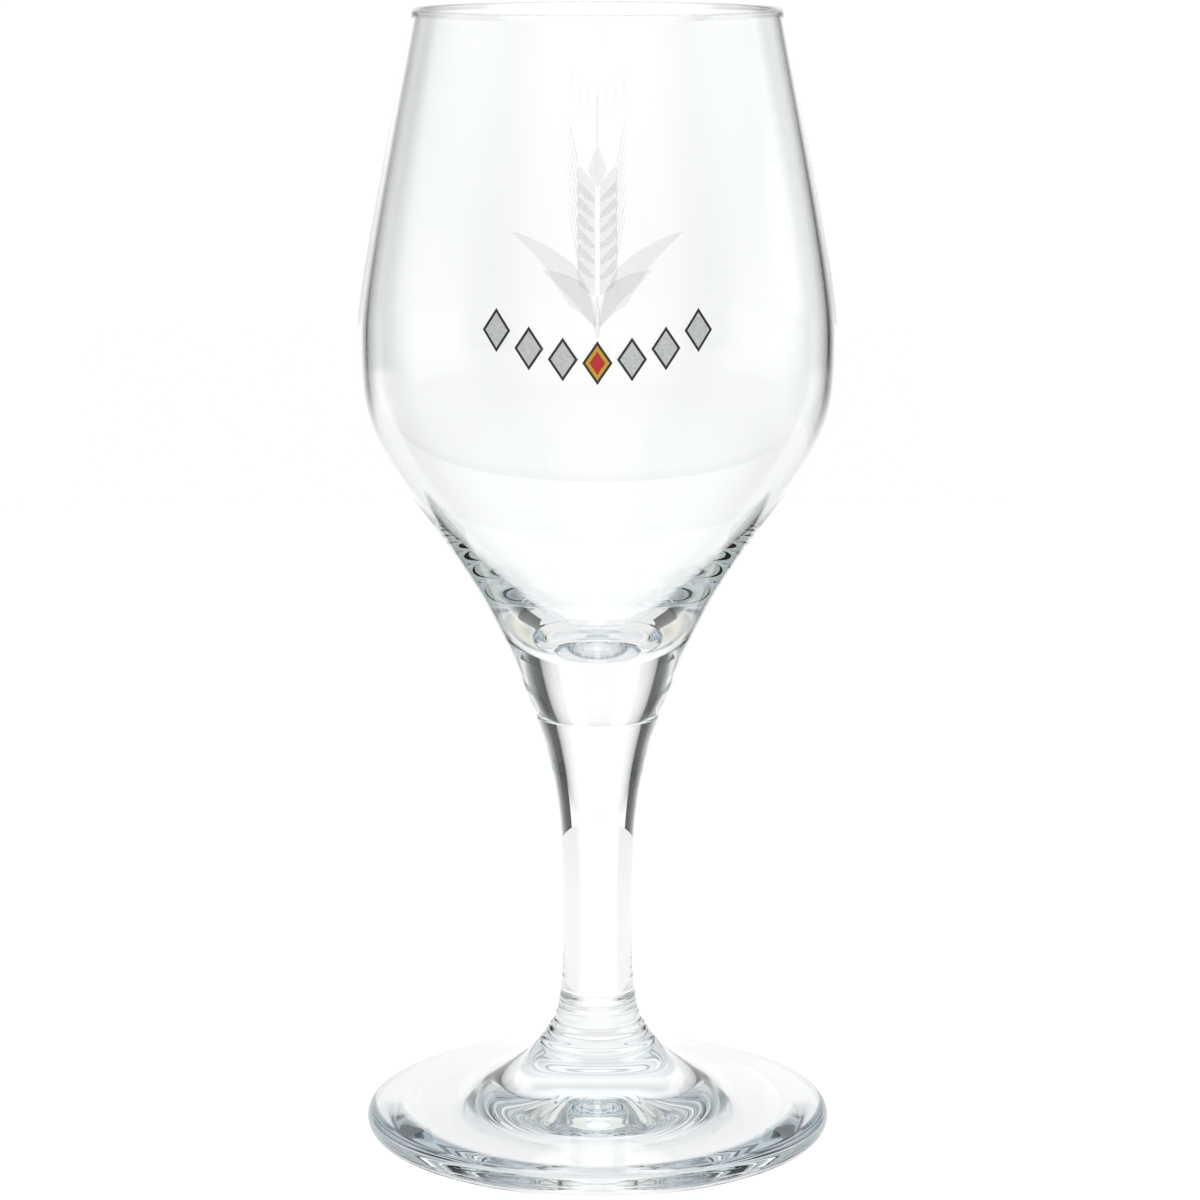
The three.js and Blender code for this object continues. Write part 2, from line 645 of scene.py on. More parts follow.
@dataclass
class Bowl(TurnedGlass):
    """The blown bowl: thin at the lip, with a conical well over a thick base."""

    node: str = "bowl"
    seam_radius: float = 10.9 * MM
    stub_slope: float = 0.55
    turn_radius: float = 30.1 * MM
    turn_rise: float = 36 * MM
    turn_slope: float = 0.735
    belly_rise: float = 68.5 * MM
    rim_radius: float = 31.85 * MM
    rim_slope: float = -0.195
    rim_wall: float = 1 * MM
    belly_wall: float = 1.6 * MM
    floor_thickness: float = 11.4 * MM
    floor_spread: float = 7 * MM
    well_rise: float = 29 * MM
    well_wall: float = 2.4 * MM
    well_slope: float = 0.82
    well_lift: float = 12 * MM
    cone_fullness: Span = (0.19, 0.6)
    shoulder_fullness: Span = (0.485, 0.387)
    wall_fullness: Span = (0.145, 0.35)
    cup_fullness: Span = (0.54, 0.34)

    @cached_property
    def outer_wall(self) -> list[Point]:
        """Draws the outside from the seam to the lip.

        Returns:
            The points of the wall.
        """
        low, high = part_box(self.node)
        seam = Station(self.seam_radius, low.z + self.joint_crease, self.stub_slope)
        turn = Station(self.turn_radius, low.z + self.turn_rise, self.turn_slope)
        belly = Station(high.x, low.z + self.belly_rise)
        rim = Station(self.rim_radius, high.z - self.rim_wall / 2, self.rim_slope)
        cone = swept(seam, turn, self.cone_fullness, 40)
        shoulder = swept(turn, belly, self.shoulder_fullness, 40)
        wall = swept(belly, rim, self.wall_fullness, 36)
        return cone + shoulder[1:] + wall[1:]

    def outer_radius(self, height: float) -> float:
        """Radius of the outside at a height.

        Args:
            height: height over the table.

        Returns:
            The radius there.
        """
        wall = self.outer_wall
        for (near, low), (far, high) in zip(wall, wall[1:]):
            if low <= height <= high:
                return near + (far - near) * (height - low) / (high - low)
        raise ValueError(f"no wall at height {height}")

    def inner_wall(self) -> list[Point]:
        """Draws the inside from the floor of the well to the lip.

        Returns:
            The points of the wall.
        """
        low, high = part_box(self.node)
        floor = low.z + self.floor_thickness
        brim = low.z + self.well_rise
        edge = Station(self.outer_radius(brim) - self.well_wall, brim, self.well_slope)
        knee = (edge.radius - self.well_slope * self.well_lift, brim - self.well_lift)
        belly = Station(high.x - self.belly_wall, low.z + self.belly_rise)
        rim = Station(self.rim_radius - self.rim_wall, high.z - self.rim_wall / 2, self.rim_slope)
        well = bezier([(0.0, floor), (self.floor_spread, floor), knee, edge.point], 48)
        cup = swept(edge, belly, self.cup_fullness, 40)
        wall = swept(belly, rim, self.wall_fullness, 36)
        return well + cup[1:] + wall[1:]

    def stretches(self) -> list[Stretch]:
        """Draws the bowl from the fused face, over the lip and down to the floor of the well.

        Returns:
            The runs of the outline.
        """
        low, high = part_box(self.node)
        face = (self.seam_radius - self.joint_crease, low.z)
        outer = self.outer_wall
        lip_radius = self.rim_wall / 2
        lip = arc((self.rim_radius - lip_radius, high.z - lip_radius), lip_radius, 0, 180, 12)
        return [
            Stretch([(0.0, low.z), face], Skin.WELD),
            Stretch([face, outer[0]]),
            Stretch(outer),
            Stretch(lip),
            Stretch(self.inner_wall()[::-1]),
        ]


@dataclass(frozen=True)
class Enamel:
    """A colour fired on the glass: satin, a little uneven and worn to pinholes.

    Attributes:
        name: name of the material.
        colour: mean colour.
        cover: opacity where the layer is whole.
        sheen: lowest and highest roughness.
        grain: width of the uneven patches, in metres.
        index: index of refraction.
        shades: thinnest and thickest of the colour, as shares of the mean.
        shade_span: noise at which the colour is thinnest, and thickest.
        sheen_span: noise at which the sheen is lowest, and highest.
        pinhole: width of a pinhole, in metres.
        pinhole_span: noise under which the layer is worn, and over which it is whole.
        worn: share of the cover that is left in a pinhole.
        relief: strength and depth of the unevenness that is felt.
    """

    name: str
    colour: Colour
    cover: float = 1.0
    sheen: Span = (0.3, 0.5)
    grain: float = 0.5 * MM
    index: float = 1.5
    shades: Span = (0.88, 1.1)
    shade_span: Span = (0.3, 0.7)
    sheen_span: Span = (0.35, 0.65)
    pinhole: float = 0.35 * MM
    pinhole_span: Span = (0.27, 0.36)
    worn: float = 0.55
    relief: Span = (0.3, 0.01 * MM)

    def material(self) -> Material:
        """Builds the node material.

        Returns:
            The material.
        """
        material, sheet, paint = start_material(self.name, "ShaderNodeBsdfPrincipled")
        paint.inputs["Metallic"].default_value = 0.0
        paint.inputs["IOR"].default_value = self.index

        place = sheet.add("ShaderNodeTexCoord").outputs["Object"]
        uneven = sheet.noise(place, self.grain, 3.0)
        thin, thick = (tuple(min(1.0, shade * c) for c in self.colour) for shade in self.shades)
        sheet.link(sheet.tone(uneven, self.shade_span, thin, thick), paint.inputs["Base Color"])
        sheet.link(sheet.ramp(uneven, self.sheen_span, self.sheen), paint.inputs["Roughness"])

        holes = sheet.noise(place, self.pinhole, 2.0)
        worn = (self.worn * self.cover, self.cover)
        sheet.link(sheet.ramp(holes, self.pinhole_span, worn), paint.inputs["Alpha"])
        sheet.link(sheet.bump(uneven, *self.relief), paint.inputs["Normal"])
        return material


@dataclass(frozen=True)
class Stroke:
    """One shape of the decoration, laid flat before it is wrapped on the bowl.

    Attributes:
        spine: points along its middle, as (across, up) in metres from the centre of the decoration.
        halves: half of its width at each point of the spine.
        layer: how many layers of enamel lie under it.
    """

    spine: list[Point]
    halves: list[float]
    layer: int = 0

    def rows(self, columns: int) -> list[list[Point]]:
        """Points across the stroke at each point of its spine.

        Args:
            columns: number of steps across.

        Returns:
            One row of points for each point of the spine.
        """
        rows = []
        last = len(self.spine) - 1
        for index, (point, half) in enumerate(zip(self.spine, self.halves)):
            before, after = self.spine[max(index - 1, 0)], self.spine[min(index + 1, last)]
            run = (after[0] - before[0], after[1] - before[1])
            length = math.hypot(*run)
            side = (run[1] / length, -run[0] / length)
            offsets = [half * (2 * column / columns - 1) for column in range(columns + 1)]
            rows.append([(point[0] + side[0] * o, point[1] + side[1] * o) for o in offsets])
        return rows


def spindle(start: Point, end: Point, half: float, shape: Span, bend: float = 0.0) -> Stroke:
    """Shapes a grain, a leaf or a hair: pointed at both ends and widest at its belly.

    Args:
        start: root of the shape.
        end: tip of the shape.
        half: half of its greatest width.
        shape: where it is widest, as a share of its length, and how blunt its ends are: 1 is straight to
            the point, less is fuller.
        bend: how far its middle bows sideways, as a share of its length.

    Returns:
        The flat stroke.
    """
    steps = 16
    belly, power = shape
    run = (end[0] - start[0], end[1] - start[1])
    middle = (
        (start[0] + end[0]) / 2 - 2 * bend * run[1],
        (start[1] + end[1]) / 2 + 2 * bend * run[0],
    )
    spine = bezier([start, middle, end], steps)
    halves = []
    for index in range(steps + 1):
        t = index / steps
        rise = t / belly if t < belly else (1 - t) / (1 - belly)
        halves.append(max(half * rise**power, 0.02 * MM))
    return Stroke(spine, halves)


@dataclass
class Decoration:
    """A generic crest fired on the front of the bowl: an ear of barley over a swag of lozenges.

    Attributes:
        bowl: the bowl that carries it.
        centre: height of its centre.
        thickness: thickness of one enamel layer.
        clearance: how far the first layer lies off the glass.
        grain_pairs: pairs of grains on the ear.
        grain_pitch: rise from one pair of grains to the next.
        ear_foot: height of the lowest pair over the centre.
        grain_size: length and half width of a grain.
        grain_shape: where a grain is widest, and how blunt it is.
        grain_lean: how far a grain leans out, in degrees.
        grain_bow: how far it bows, as a share of its length.
        grain_gap: how far its root lies from the stalk's middle.
        awn_size: length and half width of the hair on a grain.
        awn_shape: where a hair is widest, and how blunt it is.
        stalk_foot: height of the stalk's foot over the centre.
        stalk_half: half width of the stalk.
        stalk_shape: where the stalk is widest, and how blunt it is.
        leaf_shares: size of each leaf of a side, as a share of the full one.
        leaf_reach: how far the tip of a leaf lies from the axis, and over the centre.
        leaf_drop: how far a leaf's tip is lower for each unit of size that it lacks.
        leaf_root: how far its root lies from the axis, and over the stalk's foot for a leaf of full size.
        leaf_half: half width of a leaf.
        leaf_shape: where a leaf is widest, and how blunt it is.
        leaf_bow: how far it bows, as a share of its length.
        lozenges: number of lozenges in the swag.
        lozenge_pitch: distance between their middles.
        lozenge_size: half width and half height of a lozenge.
        outline: width of the black line around a lozenge.
        jewel: how many such lines the red lies inside the middle lozenge.
        swag_height: height of the middle of the swag over the centre.
        swag_drop: how far the middle of the swag hangs under its ends.
    """

    bowl: Bowl
    centre: float = 161 * MM
    thickness: float = 0.015 * MM
    clearance: float = 0.015 * MM
    grain_pairs: int = 7
    grain_pitch: float = 2.5 * MM
    ear_foot: float = -6 * MM
    grain_size: Span = (6.4 * MM, 1.5 * MM)
    grain_shape: Span = (0.42, 0.75)
    grain_lean: float = 24.0
    grain_bow: float = 0.03
    grain_gap: float = 0.5 * MM
    awn_size: Span = (9 * MM, 0.16 * MM)
    awn_shape: Span = (0.1, 0.6)
    stalk_foot: float = -13 * MM
    stalk_half: float = 0.5 * MM
    stalk_shape: Span = (0.3, 0.3)
    leaf_shares: Span = (1.0, 0.62)
    leaf_reach: Point = (14.5 * MM, 4 * MM)
    leaf_drop: float = 16 * MM
    leaf_root: Point = (0.3 * MM, 1.4 * MM)
    leaf_half: float = 2.2 * MM
    leaf_shape: Span = (0.45, 0.8)
    leaf_bow: float = 0.11
    lozenges: int = 7
    lozenge_pitch: float = 5.7 * MM
    lozenge_size: Point = (2.5 * MM, 3.6 * MM)
    outline: float = 0.42 * MM
    jewel: float = 2.3
    swag_height: float = -17 * MM
    swag_drop: float = 5 * MM

    def ear(self) -> list[Stroke]:
        """Draws the barley: grains and their hairs, the stalk and the leaves.

        Returns:
            The flat strokes.
        """
        length, half = self.grain_size
        hair, hair_half = self.awn_size
        lean = math.radians(self.grain_lean)
        strokes = []
        for pair in range(self.grain_pairs):
            root = self.ear_foot + pair * self.grain_pitch
            for side in (-1, 1):
                start = (side * self.grain_gap, root)
                tip = (start[0] + side * length * math.sin(lean), root + length * math.cos(lean))
                end = (tip[0] + side * hair * math.sin(lean / 2), tip[1] + hair * math.cos(lean / 2))
                strokes.append(spindle(start, tip, half, self.grain_shape, -side * self.grain_bow))
                strokes.append(spindle(tip, end, hair_half, self.awn_shape))
        top = self.ear_foot + self.grain_pairs * self.grain_pitch
        crown = (0.0, top + length)
        strokes.append(spindle((0.0, top), crown, half, self.grain_shape))
        strokes.append(spindle(crown, (0.0, crown[1] + hair), hair_half, self.awn_shape))
        stalk = ((0.0, self.stalk_foot), (0.0, self.ear_foot))
        strokes.append(spindle(*stalk, self.stalk_half, self.stalk_shape))
        for side in (-1, 1):
            for share in self.leaf_shares:
                root = (side * self.leaf_root[0], self.stalk_foot + (2 - share) * self.leaf_root[1])
                tip = (side * self.leaf_reach[0] * share, self.leaf_reach[1] - (1 - share) * self.leaf_drop)
                strokes.append(spindle(root, tip, self.leaf_half, self.leaf_shape, side * self.leaf_bow))
        return strokes

    def swag_places(self) -> list[Point]:
        """Spaces the lozenges along the swag.

        Returns:
            The middle of each lozenge.
        """
        reach = (self.lozenges - 1) / 2
        places = []
        for index in range(self.lozenges):
            share = (index - reach) / reach
            across = share * reach * self.lozenge_pitch
            places.append((across, self.swag_height + self.swag_drop * share * share))
        return places

    def lozenge(self, place: Point, shrink: float, layer: int) -> Stroke:
        """One lozenge of the swag.

        Args:
            place: its middle.
            shrink: how far its sides lie inside the full lozenge.
            layer: the enamel layer that it is printed in.

        Returns:
            The flat stroke.
        """
        half_width, half_height = self.lozenge_size
        slant = math.hypot(half_width, half_height)
        scale = 1 - shrink * slant / (half_width * half_height)
        low = (place[0], place[1] - half_height * scale)
        high = (place[0], place[1] + half_height * scale)
        flat = spindle(low, high, half_width * scale, (0.5, 1.0))
        return Stroke(flat.spine, flat.halves, layer)

    def groups(self) -> list[tuple[str, Enamel, str, list[Stroke]]]:
        """Sorts the strokes by colour.

        Returns:
            Name, finish, record slot and strokes of each colour.
        """
        places = self.swag_places()
        black = [self.lozenge(place, 0.0, 1) for place in places]
        centre = places.pop(self.lozenges // 2)
        line = self.outline
        silver = [self.lozenge(place, line, 2) for place in places]
        gold = [self.lozenge(centre, line, 2)]
        red = [self.lozenge(centre, self.jewel * line, 3)]
        frost = Enamel("frost_enamel", (0.72, 0.735, 0.745), cover=0.17)
        return [
            ("frost_ear", frost, "frost_enamel", self.ear()),
            ("black_lozenges", Enamel("black_enamel", (0.012, 0.012, 0.013)), "black_enamel", black),
            ("silver_lozenges", Enamel("silver_enamel", (0.56, 0.585, 0.6)), "silver_enamel", silver),
            ("gold_lozenges", Enamel("gold_enamel", (0.6, 0.36, 0.02)), "gold_enamel", gold),
            ("red_lozenges", Enamel("red_enamel", (0.5, 0.012, 0.016)), "red_enamel", red),
        ]

    def wrap(self, point: Point, lift: float) -> Place:
        """Lays a flat point on the outside of the bowl.

        Args:
            point: across and up from the centre of the decoration.
            lift: distance off the glass.

        Returns:
            The place in the frame.
        """
        height = self.centre + point[1]
        radius = self.bowl.outer_radius(height) + lift
        angle = point[0] / radius
        return (radius * math.sin(angle), -radius * math.cos(angle), height)

    def film(self, name: str, strokes: list[Stroke]) -> Piece:
        """Makes the thin closed film of one colour.

        Args:
            name: name of the new object.
            strokes: the shapes printed in the colour.

        Returns:
            The new object, linked to the scene.
        """
        columns = 4
        vertices: list[Place] = []
        faces: list[tuple[int, ...]] = []
        for stroke in strokes:
            base = len(vertices)
            under = self.clearance + stroke.layer * self.thickness
            rows = stroke.rows(columns)
            for lift in (under, under + self.thickness):
                for row in rows:
                    vertices.extend(self.wrap(point, lift) for point in row)
            wide = columns + 1
            count = len(rows) * wide
            border: list[int] = list(range(wide))
            border += [index * wide + columns for index in range(1, len(rows))]
            border += [(len(rows) - 1) * wide + column for column in range(columns - 1, -1, -1)]
            border += [index * wide for index in range(len(rows) - 2, 0, -1)]
            for index in range(len(rows) - 1):
                for column in range(columns):
                    corner = base + index * wide + column
                    quad = (corner, corner + 1, corner + wide + 1, corner + wide)
                    faces.append(quad[::-1])
                    faces.append(tuple(c + count for c in quad))
            for near, far in zip(border, border[1:] + border[:1]):
                faces.append((base + near, base + far, base + far + count, base + near + count))
        return add_piece(name, vertices, faces)

    def build(self) -> list[Piece]:
        """Makes, dresses and places every colour.

        Returns:
            The dressed objects.
        """
        pieces = []
        for name, enamel, slot, strokes in self.groups():
            piece = self.film(name, strokes)
            piece.data.materials.append(enamel.material())
            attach(piece, ROOT_BODY)
            pieces.append(piece)
        return pieces


@dataclass(frozen=True)
class Room:
    """Light that arrives from each direction: white screens all round, dark gaps and a white table.

    Attributes:
        white: brightness of the screens.
        table_white: brightness of the table.
        turn: how far the screens are turned to the left, in degrees.
        long_screens: light of the screens along Y, as (cosine of twice the bearing, share of white).
        back_screens: the same for the light behind the camera.
        table_ahead: the same for the table along Y.
        side_screens: the same for the screens along X.
        long_fade: share of the light of the screens along Y that is left at each sine of the elevation.
        side_fade: the same for the screens along X.
        table: light of the table towards the gaps, as (sine of the elevation, share of white).
        right_shade: share of that light that is missing ahead on the right.
        table_back: least light of the table behind the camera's side of the glass.
        gap: brightness of the gaps, as (sine of the elevation, brightness).
        gap_side: least brightness of the gaps, as (cosine of twice the bearing, brightness).
        gap_colour: colour of the gaps.
        back_light: brightness of the gaps behind the camera.
        back_colour: colour of the screens behind the camera.
        front_span: Y of a direction between the screens behind the camera and the backdrop.
        horizon: sine of the elevation at which the table ahead begins to end, and ends.
        level_span: sine of the elevation between the table behind the camera and the coloured screens.
        table_back_span: Y from which the table behind the camera loses its light, and has none.
        gap_span: the same for the gaps behind the camera.
        colour_span: the same for the colour of the screens behind the camera.
        shade_bearing: where the table's light is missing ahead on the right, in degrees from +X.
        shade_width: how far to each side it is missing in full, and at all, in degrees.
    """

    white: float = 1.25
    table_white: float = 1.05
    turn: float = 1.5
    long_screens: Stops = (
        (-0.975, 0.84),
        (-0.96, 0.93),
        (-0.93, 1.0),
        (-0.8, 1.0),
        (-0.74, 0.84),
        (-0.39, 0.84),
        (-0.35, 0.0),
    )
    back_screens: Stops = ((-0.95, 0.95), (-0.5, 0.85), (-0.3, 0.7), (0.0, 0.4), (0.3, 0.15), (0.6, 0.0))
    table_ahead: Stops = (
        (-0.87, 1.0),
        (-0.74, 0.92),
        (-0.64, 0.8),
        (-0.5, 0.62),
        (-0.42, 0.5),
        (-0.36, 0.0),
    )
    side_screens: Stops = ((0.35, 0.0), (0.5, 0.1), (0.6, 0.35), (0.68, 0.6), (0.83, 0.9), (0.9, 1.0))
    long_fade: Stops = (
        (-0.171, 0.0),
        (-0.1635, 0.95),
        (-0.12, 0.95),
        (-0.06, 1.0),
        (0.12, 1.0),
        (0.3, 0.92),
        (0.5, 0.75),
        (1.0, 0.74),
    )
    side_fade: Stops = ((-0.16, 0.46), (-0.11, 0.84), (0.11, 0.84), (0.17, 0.34), (0.45, 0.25), (1.0, 0.25))
    table: Stops = ((-0.26, 0.84), (-0.2, 0.72), (-0.152, 0.6), (-0.138, 0.0))
    right_shade: float = 0.42
    table_back: float = 0.8
    gap: Stops = ((0.0, 0.0), (0.2, 0.03), (0.5, 0.12), (0.65, 0.55), (0.85, 0.9), (1.0, 1.0))
    gap_side: Stops = ((-0.36, 0.01), (-0.1, 0.03), (0.1, 0.08), (0.34, 0.21), (0.5, 0.3))
    gap_colour: Colour = (0.84, 0.95, 1.0)
    back_light: float = 0.08
    back_colour: Colour = (1.0, 0.95, 0.82)
    front_span: Span = (-0.1, 0.1)
    horizon: Span = (-0.1635, -0.1555)
    level_span: Span = (-0.05, 0.0)
    table_back_span: Span = (-0.2, 0.0)
    gap_span: Span = (-0.4, -0.1)
    colour_span: Span = (-0.5, -0.3)
    shade_bearing: float = 45.0
    shade_width: Span = (20.0, 35.0)

    def build(self) -> None:
        """Makes the world."""
        world = bpy.data.worlds.new("studio_room")
        bpy.context.scene.world = world
        world.use_nodes = True
        sheet = NodeSheet(world.node_tree)
        output = sheet.add("ShaderNodeOutputWorld")
        _, split = sheet.coordinates("Generated")
        depth = split.outputs["Y"]
        rise = split.outputs["Z"]
        lobes = self.lobes(sheet, split)
        front = sheet.ramp(depth, self.front_span, (0.0, 1.0))
        away = sheet.math("SUBTRACT", 1.0, front)
        backdrop = sheet.math("MULTIPLY", sheet.steps(lobes, self.long_screens), front)
        rear = sheet.math("MULTIPLY", sheet.steps(lobes, self.back_screens), away)
        ends = sheet.math("ADD", backdrop, rear)
        along = sheet.math("MULTIPLY", ends, sheet.steps(rise, self.long_fade))
        sides = sheet.steps(lobes, self.side_screens)
        across = sheet.math("MULTIPLY", sides, sheet.steps(rise, self.side_fade))
        screens = sheet.math("MAXIMUM", along, across)
        level = sheet.ramp(rise, self.horizon, (1.0, 0.0))
        ahead = sheet.math("MULTIPLY", sheet.steps(lobes, self.table_ahead), level)
        near = sheet.math("MULTIPLY", sheet.steps(rise, self.table), self.shade(sheet, split))
        table = sheet.math("MAXIMUM", near, ahead)
        table_rear = sheet.ramp(depth, self.table_back_span, (self.table_back, 0.0))
        below = sheet.math("MULTIPLY", table_rear, sheet.ramp(rise, self.level_span, (1.0, 0.0)))
        floor = sheet.math("MAXIMUM", table, below)
        cover = sheet.math("MAXIMUM", screens, floor)
        bare = sheet.math("SUBTRACT", 1.0, cover)

        gap_rear = sheet.ramp(depth, self.gap_span, (self.back_light, 0.0), smooth=True)
        dim = sheet.math("MAXIMUM", sheet.steps(rise, self.gap), sheet.steps(lobes, self.gap_side))
        gaps = sheet.math("MAXIMUM", dim, gap_rear)
        raised = sheet.ramp(rise, self.level_span, (0.0, 1.0))
        behind = sheet.math("MULTIPLY", sheet.ramp(depth, self.colour_span, (1.0, 0.0)), raised)
        screen_colour = sheet.tone(behind, (0.0, 1.0), (1.0, 1.0, 1.0), self.back_colour)
        white = sheet.add("ShaderNodeBackground")
        sheet.link(screen_colour, white.inputs["Color"])
        screen_light = sheet.math("MULTIPLY", screens, self.white)
        floor_light = sheet.math("MULTIPLY", floor, self.table_white)
        brightest = sheet.math("MAXIMUM", screen_light, floor_light)
        lit = sheet.math("MAXIMUM", brightest, sheet.path("Is Camera Ray"))
        sheet.link(lit, white.inputs["Strength"])
        dark = sheet.add("ShaderNodeBackground")
        dark.inputs["Color"].default_value = (*self.gap_colour, 1.0)
        sheet.link(sheet.math("MULTIPLY", gaps, bare), dark.inputs["Strength"])
        joined = sheet.add("ShaderNodeAddShader")
        sheet.link(white.outputs["Background"], joined.inputs[0])
        sheet.link(dark.outputs["Background"], joined.inputs[1])
        sheet.link(joined.outputs["Shader"], output.inputs["Surface"])

    def shade(self, sheet: NodeSheet, split: Node) -> Socket:
        """Share of the table's light that is left: less ahead on the right.

        Args:
            sheet: the nodes of the world.
            split: the node that gives the direction's X and Y.

        Returns:
            The share's socket.
        """
        bearing = sheet.math("ARCTAN2", split.outputs["Y"], split.outputs["X"])
        aside = sheet.math("SUBTRACT", bearing, math.radians(self.shade_bearing))
        width = tuple(math.radians(angle) for angle in self.shade_width)
        return sheet.ramp(sheet.math("ABSOLUTE", aside), width, (1 - self.right_shade, 1.0))

    def lobes(self, sheet: NodeSheet, split: Node) -> Socket:
        """Cosine of twice the bearing: -1 towards the screens along Y and 1 towards those along X.

        Args:
            sheet: the nodes of the world or of the table.
            split: the node that gives the direction's or the place's X and Y.

        Returns:
            The cosine's socket.
        """
        bearing = sheet.math("ARCTAN2", split.outputs["Y"], split.outputs["X"])
        turned = sheet.math("SUBTRACT", bearing, math.radians(self.turn))
        return sheet.math("COSINE", sheet.math("MULTIPLY", turned, 2.0))


@dataclass
class Studio:
    """White table, a net and flags for what is seen through the glass, the light's limits, and the camera.

    Attributes:
        room: light around the table.
        table_radius: radius of the table top.
        table_sides: sides of its outline.
        table_drop: clearance under the foot, so that the faces don't fight.
        table_albedo: share of light that the table top gives back.
        table_glow: light of the table aside, as (distance from the glass in metres, share of white).
        net_distance: how far behind the glass the net hangs that shades the sides of the backdrop.
        net_height: height of the net, and half its width.
        net_fade: heights at which it begins to shade and shades in full.
        net: light that the net lets through, as (distance from its middle in metres, share).
        flag_distance: how far from the axis the two black flags stand that darken the base of the bowl.
        flag_bearings: where each begins and ends aside of the backdrop's middle, in degrees.
        flag_heights: their lower and upper edge.
        flag_steps: faces of each flag.
        flag_share: share of light that they let through.
        camera_place: where the camera stands.
        camera_pitch: how far it looks down, in degrees.
        lens: focal length, in millimetres.
        sensor: width of the square sensor, in millimetres.
        clip: nearest and farthest distance that the camera sees, in metres.
        bounces: how many surfaces light may meet.
        clear_bounces: how many clear faces it may cross.
    """

    room: Room = Room()
    table_radius: float = 0.4
    table_sides: int = 96
    table_drop: float = 0.1 * MM
    table_albedo: float = 0.2
    table_glow: Stops = ((0.15, 0.84), (0.25, 0.78), (0.4, 0.76))
    net_distance: float = 0.38
    net_height: float = 0.4
    net_fade: Span = (0.01, 0.09)
    net: Stops = (
        (0.127, 1.0),
        (0.146, 0.93),
        (0.173, 0.85),
        (0.194, 0.74),
        (0.224, 0.54),
        (0.2375, 0.38),
        (0.247, 0.25),
        (0.261, 0.06),
    )
    flag_distance: float = 0.08
    flag_bearings: Span = (35.0, 62.0)
    flag_heights: Span = (0.05, 0.078)
    flag_steps: int = 8
    flag_share: float = 0.1
    camera_place: Place = (0.43 * MM, -667.0 * MM, 224.7 * MM)
    camera_pitch: float = 10.88
    lens: float = 115.3
    sensor: float = 36.0
    clip: Span = (0.01, 200.0)
    bounces: int = 40
    clear_bounces: int = 32

    def table(self) -> Piece:
        """Makes the plain white table top.

        Returns:
            The stage piece.
        """
        sides = self.table_sides
        rim = [2 * math.pi * index / sides for index in range(sides)]
        radius = self.table_radius
        corners = [(radius * math.cos(a), radius * math.sin(a), -self.table_drop) for a in rim]
        table = add_piece("table_top", corners, [tuple(range(sides))])
        table.data.materials.append(self.table_finish())
        return table

    def table_finish(self) -> Material:
        """Builds the matt white of the table, lit from within like a light table.

        Returns:
            The material.
        """
        material, sheet, paper = start_material("white_table", "ShaderNodeBsdfPrincipled")
        room = self.room
        grey = self.table_albedo
        paper.inputs["Base Color"].default_value = (grey, grey, grey, 1.0)
        paper.inputs["Roughness"].default_value = 1.0
        paper.inputs["Specular IOR Level"].default_value = 0.0
        paper.inputs["Emission Color"].default_value = (1.0, 1.0, 1.0, 1.0)

        place, split = sheet.coordinates("Object")
        lobes = room.lobes(sheet, split)
        along = sheet.steps(lobes, room.table_ahead)
        across = sheet.math("MULTIPLY", sheet.steps(lobes, room.side_screens), room.side_fade[0][1])
        cover = sheet.math("MAXIMUM", along, across)
        distance = sheet.add("ShaderNodeVectorMath", operation="LENGTH")
        sheet.link(place, distance.inputs[0])
        near = sheet.steps(distance.outputs["Value"], self.table_glow)
        behind = sheet.ramp(split.outputs["Y"], room.table_back_span, (room.table_back, 0.0))
        lit = sheet.math("MAXIMUM", sheet.math("MAXIMUM", cover, near), behind)
        glow = sheet.math("MULTIPLY", lit, room.table_white - grey / 2)
        seen = sheet.math("MULTIPLY", sheet.path("Is Camera Ray"), room.table_white)
        sheet.link(sheet.math("MAXIMUM", glow, seen), paper.inputs["Emission Strength"])
        return material

    def grey_net(self) -> Piece:
        """Hangs the net that shades the sides of the backdrop for what is seen through the glass.

        Returns:
            The stage piece.
        """
        wide = self.net_height
        ends = [(-wide, 0.0), (wide, 0.0), (wide, self.net_height), (-wide, self.net_height)]
        net = add_piece("grey_net", [(x, self.net_distance, z) for x, z in ends], [(0, 1, 2, 3)])
        net.rotation_euler = (0.0, 0.0, math.radians(self.room.turn))
        net.data.materials.append(self.net_finish())
        return net

    def net_finish(self) -> Material:
        """Builds the net's finish: clear in the middle, dark at the sides, unseen without glass before it.

        Returns:
            The material.
        """
        material, sheet, clear = start_material("grey_net", "ShaderNodeBsdfTransparent")
        _, split = sheet.coordinates("Object")
        share = sheet.steps(sheet.math("ABSOLUTE", split.outputs["X"]), self.net)
        open_below = sheet.ramp(split.outputs["Z"], self.net_fade, (1.0, 0.0))
        clearest = sheet.math("MAXIMUM", open_below, sheet.path("Is Camera Ray"))
        sheet.link(sheet.math("MAXIMUM", share, clearest), clear.inputs["Color"])
        return material

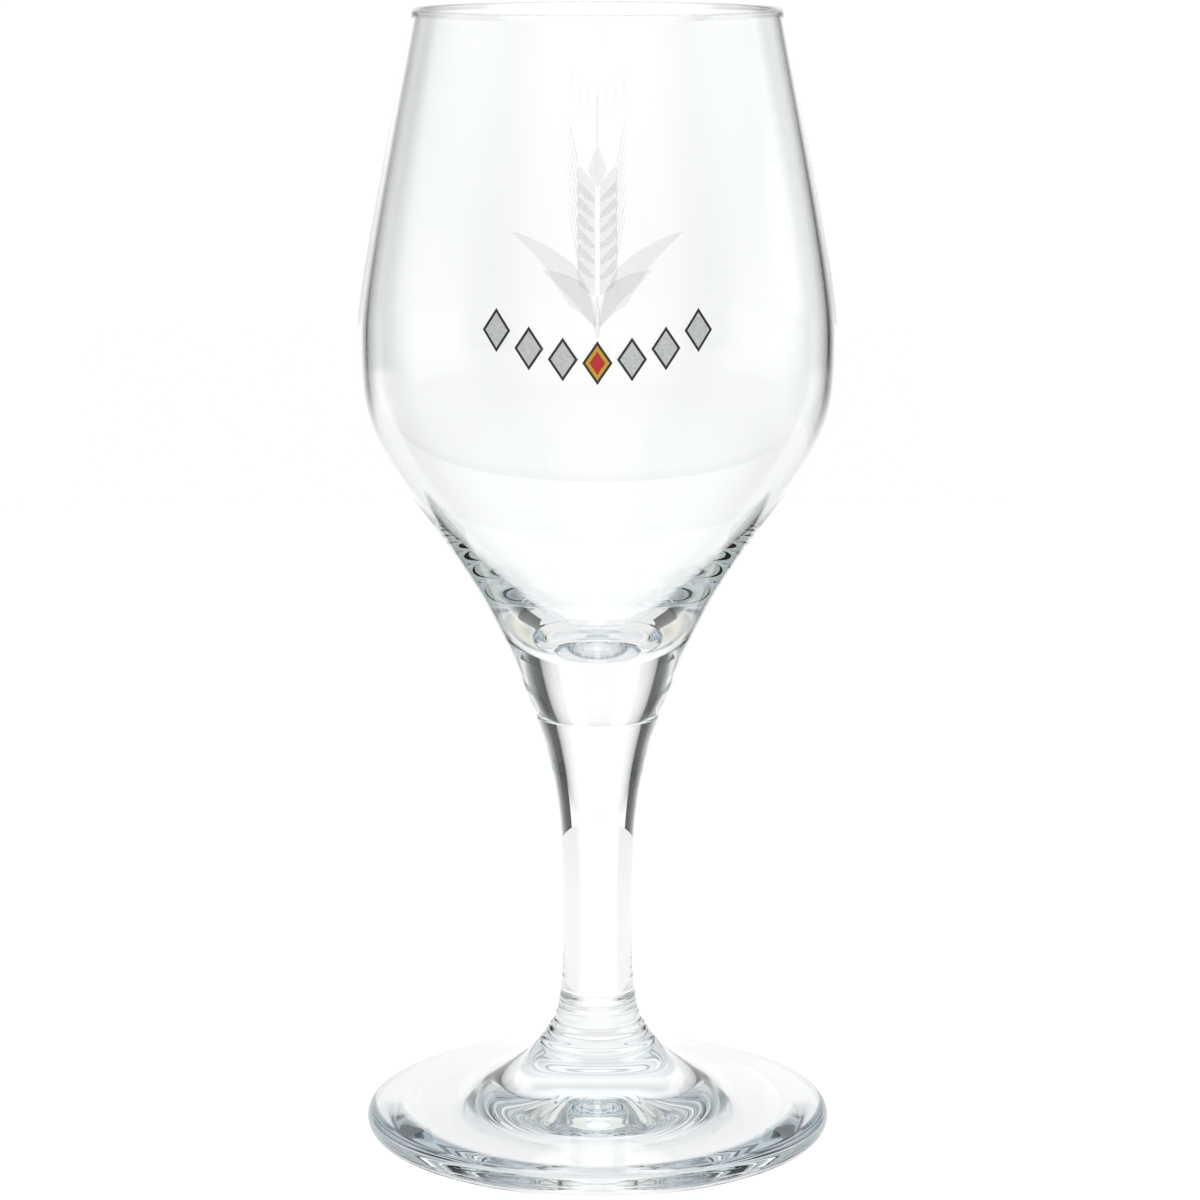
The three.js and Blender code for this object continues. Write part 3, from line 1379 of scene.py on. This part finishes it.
    def black_flags(self) -> Piece:
        """Stands up the flags that darken the base of the bowl, one on each side.

        Returns:
            The stage piece.
        """
        steps = self.flag_steps
        start, end = self.flag_bearings
        corners = []
        faces = []
        for side in (-1, 1):
            first = len(corners)
            for index in range(steps + 1):
                bearing = math.radians(start + (end - start) * index / steps)
                x = self.flag_distance * (side * math.sin(bearing))
                y = self.flag_distance * math.cos(bearing)
                corners.extend((x, y, z) for z in self.flag_heights)
            for near in range(first, first + 2 * steps, 2):
                faces.append((near, near + 1, near + 3, near + 2))
        flags = add_piece("black_flags", corners, faces)
        flags.data.materials.append(self.flag_finish())
        return flags

    def flag_finish(self) -> Material:
        """Builds the flags' black, which only shows after a reflection inside the glass.

        Returns:
            The material.
        """
        material, sheet, clear = start_material("black_flags", "ShaderNodeBsdfTransparent")
        shown = sheet.ramp(sheet.path("Glossy Depth"), (0.0, 1.0), (1.0, self.flag_share))
        sheet.link(shown, clear.inputs["Color"])
        return material

    def camera(self) -> Piece:
        """Places the camera at the photograph's angle.

        Returns:
            The camera.
        """
        data = bpy.data.cameras.new("camera")
        data.lens = self.lens
        data.sensor_fit = "HORIZONTAL"
        data.sensor_width = self.sensor
        data.clip_start, data.clip_end = self.clip
        camera = bpy.data.objects.new("camera", data)
        camera.location = self.camera_place
        camera.rotation_euler = (math.radians(90 - self.camera_pitch), 0.0, 0.0)
        bpy.context.scene.collection.objects.link(camera)
        bpy.context.scene.camera = camera
        return camera

    def light_paths(self) -> None:
        """Lets light cross enough glass, and shows whites as they are."""
        scene = bpy.context.scene
        scene.cycles.max_bounces = self.bounces
        scene.cycles.transmission_bounces = self.bounces
        scene.cycles.glossy_bounces = self.bounces
        scene.cycles.transparent_max_bounces = self.clear_bounces
        scene.view_settings.view_transform = "Standard"


def main() -> None:
    """Builds the studio and the glass, piece by piece."""
    logging.basicConfig(level=logging.INFO, format="%(name)s: %(message)s")
    studio = Studio()
    studio.camera()
    studio.table()
    studio.grey_net()
    studio.black_flags()
    studio.room.build()
    studio.light_paths()
    LOG.info("studio ready")

    weld = WeldFace()
    foot = Foot(ClearGlass("foot_clear_glass"), weld)
    stem = Stem(ClearGlass("stem_clear_glass"), weld)
    bowl = Bowl(ClearGlass("bowl_clear_glass"), weld)
    glassware = [piece.build() for piece in (foot, stem, bowl)]
    for built in glassware + Decoration(bowl).build():
        LOG.info("%s: %d faces", built.name, len(built.data.polygons))


if __name__ == "__main__":
    main()
